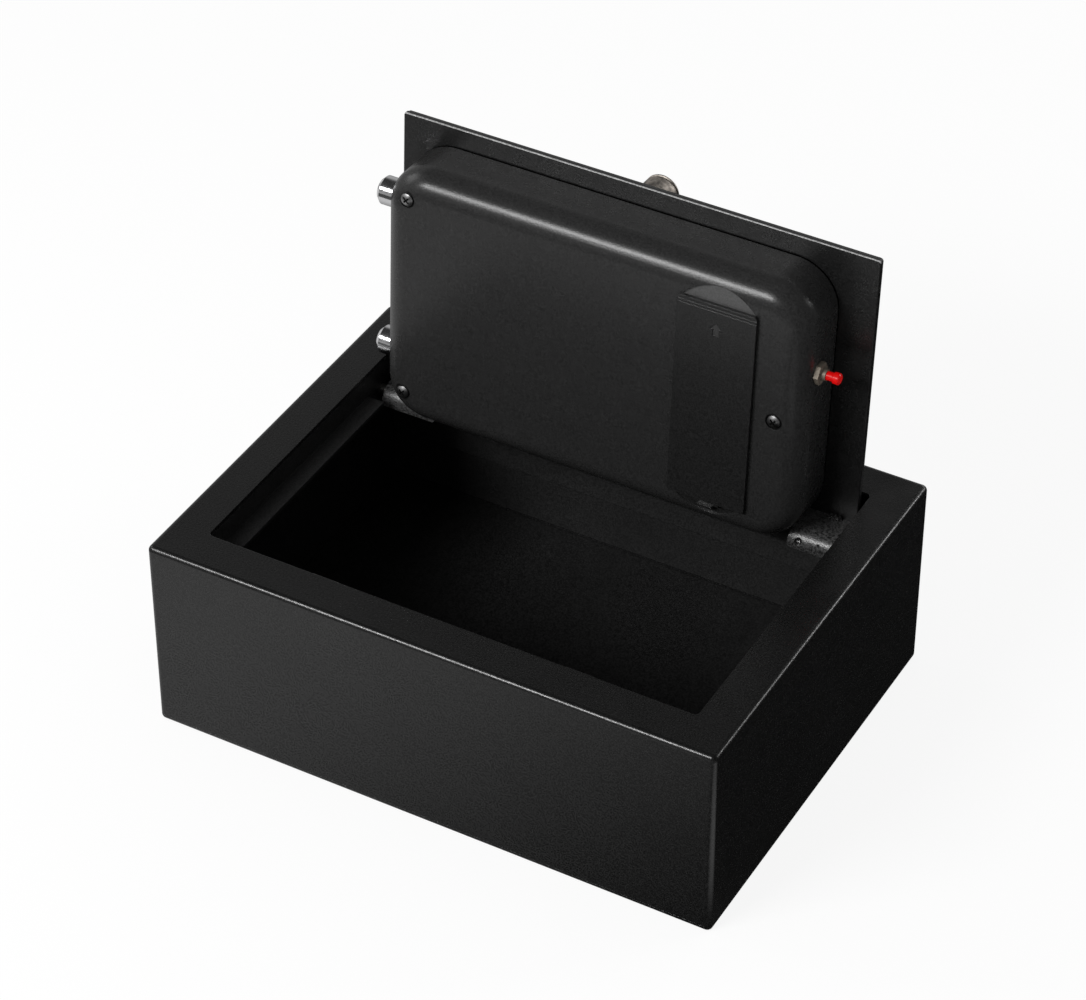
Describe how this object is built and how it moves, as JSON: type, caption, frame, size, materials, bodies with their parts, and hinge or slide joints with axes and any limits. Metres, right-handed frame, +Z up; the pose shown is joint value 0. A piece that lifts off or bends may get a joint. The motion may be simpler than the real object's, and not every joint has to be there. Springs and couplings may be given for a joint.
{
  "type": "drawer safe",
  "caption": "Shallow steel drawer safe with a hinged top lid held open, side bolts, lock housing, knob, keypad, battery box and reset button.",
  "frame": {"origin": "centre of the underside of the base plate", "axes": "+X to the right along the long side, +Y to the hinge side at the rear, +Z up"},
  "size_m": [0.29, 0.2214, 0.2339],
  "materials": {
    "case_coat": "fine-textured black powder coat, satin",
    "inner_coat": "black powder coat, satin",
    "lid_coat": "black powder coat, satin",
    "rubber": "black rubber",
    "pin_steel": "ground steel",
    "dark_screw": "black-nickel plated steel",
    "housing_plastic": "finely grained black plastic",
    "cover_plastic": "smooth satin black plastic",
    "zinc_steel": "zinc-plated sheet",
    "cell_jacket": "plain cell sleeve",
    "contact_metal": "nickel-plated spring steel",
    "board": "green solder mask",
    "coil_tape": "amber coil tape",
    "brass": "turned brass",
    "nickel": "satin nickel plating",
    "keypad_gloss": "gloss black plastic",
    "light_lens": "translucent lens",
    "bolt_chrome": "polished chrome",
    "knob_metal": "turned and plated, satin",
    "red_plastic": "bright red plastic",
    "key_plastic": "silver-grey keys"
  },
  "bodies": {
    "case": {"case_shell": "case_coat", "base_plate": "case_coat", "left_strike_rail": "inner_coat", "right_side_lip": "inner_coat", "lid_stop_angle": "inner_coat", "closing_stops": "inner_coat", "closing_bumpers": "rubber"},
    "lid": {"lid_plate": "lid_coat", "lid_panel": "lid_coat", "left_hinge_bracket": "lid_coat", "right_hinge_bracket": "lid_coat", "hinge_pins": "pin_steel", "hinge_set_screws": "dark_screw", "lock_housing": "housing_plastic", "housing_screws": "dark_screw", "housing_pillar": "zinc_steel", "bolt_frame": "zinc_steel", "battery_cells": "cell_jacket", "battery_contacts": "contact_metal", "circuit_board": "board", "board_spacers": "contact_metal", "solenoid_frame": "zinc_steel", "solenoid_coil": "coil_tape", "plunger_spring": "pin_steel", "knob_bush": "brass", "reset_switch": "nickel", "reset_nut": "nickel", "keypad_bezel": "keypad_gloss", "keypad_mat": "rubber", "status_lights": "light_lens", "key_lock_body": "nickel", "key_lock_nut": "nickel"},
    "bolt_group": {"locking_bolts": "bolt_chrome", "bolt_carriage": "zinc_steel", "carriage_screws": "zinc_steel"},
    "knob_group": {"knob": "knob_metal", "knob_shaft": "pin_steel", "knob_crank": "zinc_steel"},
    "plunger": {"solenoid_plunger": "pin_steel"},
    "battery_door": {"battery_cover": "cover_plastic"},
    "reset_push": {"reset_button": "red_plastic"},
    "key_plug": {"key_lock_plug": "brass", "key_lock_cam": "zinc_steel"},
    "keyhole_cap": {"key_lock_cap": "cover_plastic"},
    "key_1_body": {"key_1": "key_plastic"},
    "key_2_body": {"key_2": "key_plastic"},
    "key_3_body": {"key_3": "key_plastic"},
    "key_4_body": {"key_4": "key_plastic"},
    "key_5_body": {"key_5": "key_plastic"},
    "key_6_body": {"key_6": "key_plastic"},
    "key_7_body": {"key_7": "key_plastic"},
    "key_8_body": {"key_8": "key_plastic"},
    "key_9_body": {"key_9": "key_plastic"},
    "key_clear_body": {"key_clear": "key_plastic"},
    "key_0_body": {"key_0": "key_plastic"},
    "key_enter_body": {"key_enter": "key_plastic"}
  },
  "joints": [
    {"name": "lid_hinge", "type": "hinge", "parent": "case", "child": "lid", "pos_m": [0, 0.0655, 0.0865], "axis": [1, 0, 0], "range_deg": [0, 93.3]},
    {"name": "bolt_slide", "type": "slide", "parent": "lid", "child": "bolt_group", "axis": [1, 0, 0], "range_m": [0, 0.014]},
    {"name": "knob_turn", "type": "hinge", "parent": "lid", "child": "knob_group", "pos_m": [0, 0.0965, 0.21593], "axis": [0, -0.9983, 0.0576], "range_deg": [0, 90]},
    {"name": "plunger_slide", "type": "slide", "parent": "lid", "child": "plunger", "axis": [0, -0.0576, -0.9983], "range_m": [0, 0.008], "deforming": ["plunger_spring"]},
    {"name": "reset_press", "type": "slide", "parent": "lid", "child": "reset_push", "axis": [-1, 0, 0], "range_m": [0, 0.0015], "stiffness_N_per_m": 400},
    {"name": "battery_cover_lift", "type": "slide", "parent": "lid", "child": "battery_door", "axis": [0, -0.9983, 0.0576], "range_m": [0, 0.025]},
    {"name": "key_plug_turn", "type": "hinge", "parent": "lid", "child": "key_plug", "pos_m": [0, 0.08108, 0.12221], "axis": [0, 0.9983, -0.0576], "range_deg": [0, 90]},
    {"name": "keyhole_cap_pull", "type": "slide", "parent": "lid", "child": "keyhole_cap", "axis": [0, 0.9983, -0.0576], "range_m": [0, 0.012]},
    {"name": "press_1", "type": "slide", "parent": "lid", "child": "key_1_body", "axis": [0, -0.9983, 0.0576], "range_m": [0, 0.0008], "stiffness_N_per_m": 300},
    {"name": "press_2", "type": "slide", "parent": "lid", "child": "key_2_body", "axis": [0, -0.9983, 0.0576], "range_m": [0, 0.0008], "stiffness_N_per_m": 300},
    {"name": "press_3", "type": "slide", "parent": "lid", "child": "key_3_body", "axis": [0, -0.9983, 0.0576], "range_m": [0, 0.0008], "stiffness_N_per_m": 300},
    {"name": "press_4", "type": "slide", "parent": "lid", "child": "key_4_body", "axis": [0, -0.9983, 0.0576], "range_m": [0, 0.0008], "stiffness_N_per_m": 300},
    {"name": "press_5", "type": "slide", "parent": "lid", "child": "key_5_body", "axis": [0, -0.9983, 0.0576], "range_m": [0, 0.0008], "stiffness_N_per_m": 300},
    {"name": "press_6", "type": "slide", "parent": "lid", "child": "key_6_body", "axis": [0, -0.9983, 0.0576], "range_m": [0, 0.0008], "stiffness_N_per_m": 300},
    {"name": "press_7", "type": "slide", "parent": "lid", "child": "key_7_body", "axis": [0, -0.9983, 0.0576], "range_m": [0, 0.0008], "stiffness_N_per_m": 300},
    {"name": "press_8", "type": "slide", "parent": "lid", "child": "key_8_body", "axis": [0, -0.9983, 0.0576], "range_m": [0, 0.0008], "stiffness_N_per_m": 300},
    {"name": "press_9", "type": "slide", "parent": "lid", "child": "key_9_body", "axis": [0, -0.9983, 0.0576], "range_m": [0, 0.0008], "stiffness_N_per_m": 300},
    {"name": "press_clear", "type": "slide", "parent": "lid", "child": "key_clear_body", "axis": [0, -0.9983, 0.0576], "range_m": [0, 0.0008], "stiffness_N_per_m": 300},
    {"name": "press_0", "type": "slide", "parent": "lid", "child": "key_0_body", "axis": [0, -0.9983, 0.0576], "range_m": [0, 0.0008], "stiffness_N_per_m": 300},
    {"name": "press_enter", "type": "slide", "parent": "lid", "child": "key_enter_body", "axis": [0, -0.9983, 0.0576], "range_m": [0, 0.0008], "stiffness_N_per_m": 300}
  ],
  "couplings": [
    {"joint": "bolt_slide", "follows": "lid_hinge", "m_per_rad": 0.0085974},
    {"joint": "knob_turn", "follows": "lid_hinge", "ratio": 0.96463},
    {"joint": "plunger_slide", "follows": "lid_hinge", "m_per_rad": 0.0049128}
  ]
}
